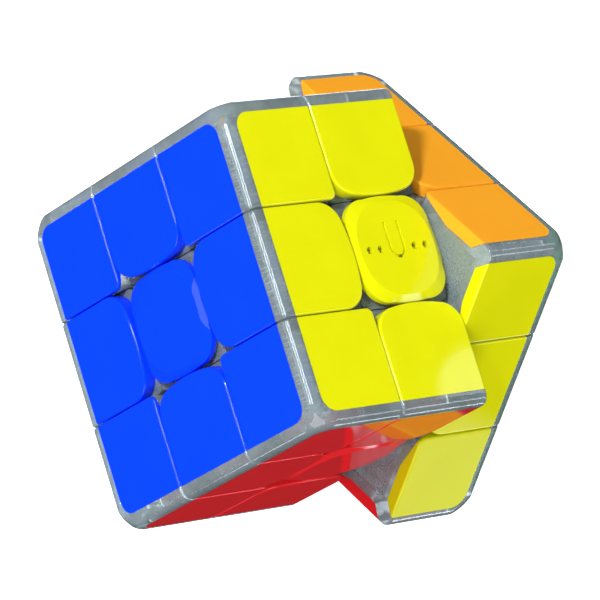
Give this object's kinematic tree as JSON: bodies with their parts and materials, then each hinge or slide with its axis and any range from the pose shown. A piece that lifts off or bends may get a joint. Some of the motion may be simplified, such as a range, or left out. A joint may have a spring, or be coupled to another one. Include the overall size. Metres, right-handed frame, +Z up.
{
  "type": "twisty puzzle cube",
  "caption": "Three-layer twisty puzzle cube of clear mouldings with coloured snap-in caps on six sides, turned about a sprung ball core, one layer part-turned.",
  "frame": {"origin": "on the surface the cube rests on, under the cube's centre", "axes": "+Z up through the blue face and along the axis of the turned layer; -Y through the yellow face with the contact holes; +X through the orange face"},
  "size_m": [0.077, 0.077, 0.056],
  "materials": {
    "clear_plastic": "clear smoke-grey moulding, polished",
    "blue_plastic": "glossy blue moulding",
    "green_plastic": "glossy green moulding",
    "yellow_plastic": "glossy yellow moulding",
    "white_plastic": "glossy white moulding",
    "orange_plastic": "glossy orange moulding",
    "red_plastic": "glossy red moulding",
    "core_plastic": "satin grey moulding",
    "steel": "bright zinc-plated steel",
    "circuit_board": "solder mask over glass fibre",
    "chip_plastic": "matt black epoxy",
    "battery_wrap": "satin grey wrap",
    "contact_metal": "nickel plate over brass"
  },
  "bodies": {
    "middle_slice": {"battery": "battery_wrap", "board_chips": "chip_plastic", "centre_orange": "clear_plastic", "centre_red": "clear_plastic", "centre_springs": "steel", "centre_white": "clear_plastic", "centre_yellow": "clear_plastic", "contact_pads": "contact_metal", "contact_strip": "circuit_board", "core_lower_shell": "core_plastic", "core_upper_shell": "core_plastic", "edge_orange_white": "clear_plastic", "edge_red_yellow": "clear_plastic", "edge_white_red": "clear_plastic", "edge_yellow_orange": "clear_plastic", "main_board": "circuit_board", "middle_orange_caps": "orange_plastic", "middle_red_caps": "red_plastic", "middle_white_caps": "white_plastic", "middle_yellow_caps": "yellow_plastic", "orange_centre_cap": "orange_plastic", "red_centre_cap": "red_plastic", "spring_washers": "steel", "tension_screws": "steel", "white_centre_cap": "white_plastic", "yellow_centre_cap": "yellow_plastic"},
    "top_layer": {"blue_centre_cap": "blue_plastic", "blue_corner_caps": "blue_plastic", "blue_edge_caps": "blue_plastic", "centre_blue": "clear_plastic", "corner_blue_orange_white": "clear_plastic", "corner_blue_red_yellow": "clear_plastic", "corner_blue_white_red": "clear_plastic", "corner_blue_yellow_orange": "clear_plastic", "edge_blue_orange": "clear_plastic", "edge_blue_red": "clear_plastic", "edge_blue_white": "clear_plastic", "edge_blue_yellow": "clear_plastic", "top_orange_caps": "orange_plastic", "top_red_caps": "red_plastic", "top_white_caps": "white_plastic", "top_yellow_caps": "yellow_plastic"},
    "bottom_layer": {"bottom_orange_caps": "orange_plastic", "bottom_red_caps": "red_plastic", "bottom_white_caps": "white_plastic", "bottom_yellow_caps": "yellow_plastic", "centre_green": "clear_plastic", "corner_green_orange_yellow": "clear_plastic", "corner_green_red_white": "clear_plastic", "corner_green_white_orange": "clear_plastic", "corner_green_yellow_red": "clear_plastic", "edge_green_orange": "clear_plastic", "edge_green_red": "clear_plastic", "edge_green_white": "clear_plastic", "edge_green_yellow": "clear_plastic", "green_centre_cap": "green_plastic", "green_corner_caps": "green_plastic", "green_edge_caps": "green_plastic"}
  },
  "joints": [
    {"name": "top_layer_turn", "type": "hinge", "parent": "middle_slice", "child": "top_layer", "pos_m": [0, 0, 0.028], "axis": [0, 0, 1], "continuous": true},
    {"name": "bottom_layer_turn", "type": "hinge", "parent": "middle_slice", "child": "bottom_layer", "pos_m": [0, 0, 0.028], "axis": [0, 0, 1], "continuous": true}
  ]
}
